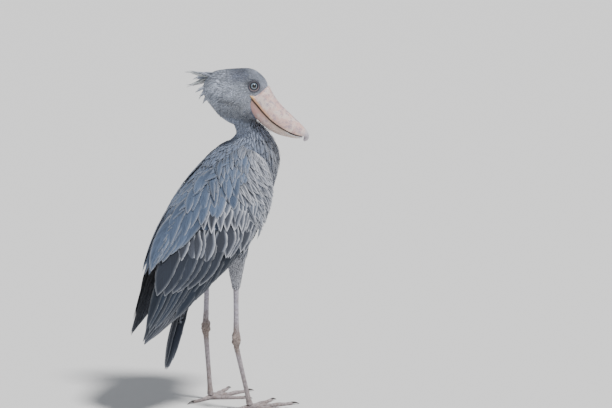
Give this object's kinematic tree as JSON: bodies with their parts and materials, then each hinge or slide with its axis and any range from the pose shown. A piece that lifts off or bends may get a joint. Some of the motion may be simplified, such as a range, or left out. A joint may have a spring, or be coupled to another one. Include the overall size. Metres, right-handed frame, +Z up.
{
  "type": "standing shoebill",
  "caption": "Still life-size shoebill standing on both feet, wings folded, head turned to its right, with a broad hooked bill.",
  "frame": {"origin": "middle of the bounding box's base, on the floor that the toes stand on", "axes": "+X the way the body faces, +Y towards the bird's left, +Z up"},
  "size_m": [0.578, 0.3366, 1.127],
  "materials": {
    "plumage": "soft slate blue-grey body feathers",
    "flight": "dark slate vanes with pale grey edges",
    "bill": "satin pinkish horn with grey flecks",
    "eye": "wet pale blue-grey iris with a small black pupil",
    "leg": "matt scaly grey skin",
    "claw": "dull dark horn"
  },
  "bodies": {
    "root": {"ankle_left": "leg", "ankle_right": "leg", "claw_hind_left": "claw", "claw_hind_right": "claw", "claw_inner_left": "claw", "claw_inner_right": "claw", "claw_middle_left": "claw", "claw_middle_right": "claw", "claw_outer_left": "claw", "claw_outer_right": "claw", "eye_left": "eye", "eye_right": "eye", "head": "plumage", "lower_bill": "bill", "neck": "plumage", "shank_left": "leg", "shank_right": "leg", "tail": "flight", "tarsus_left": "leg", "tarsus_right": "leg", "thigh_left": "plumage", "thigh_right": "plumage", "toe_hind_left": "leg", "toe_hind_right": "leg", "toe_inner_left": "leg", "toe_inner_right": "leg", "toe_middle_left": "leg", "toe_middle_right": "leg", "toe_outer_left": "leg", "toe_outer_right": "leg", "torso": "plumage", "upper_bill": "bill", "wing_left": "flight", "wing_right": "flight"}
  },
  "joints": []
}
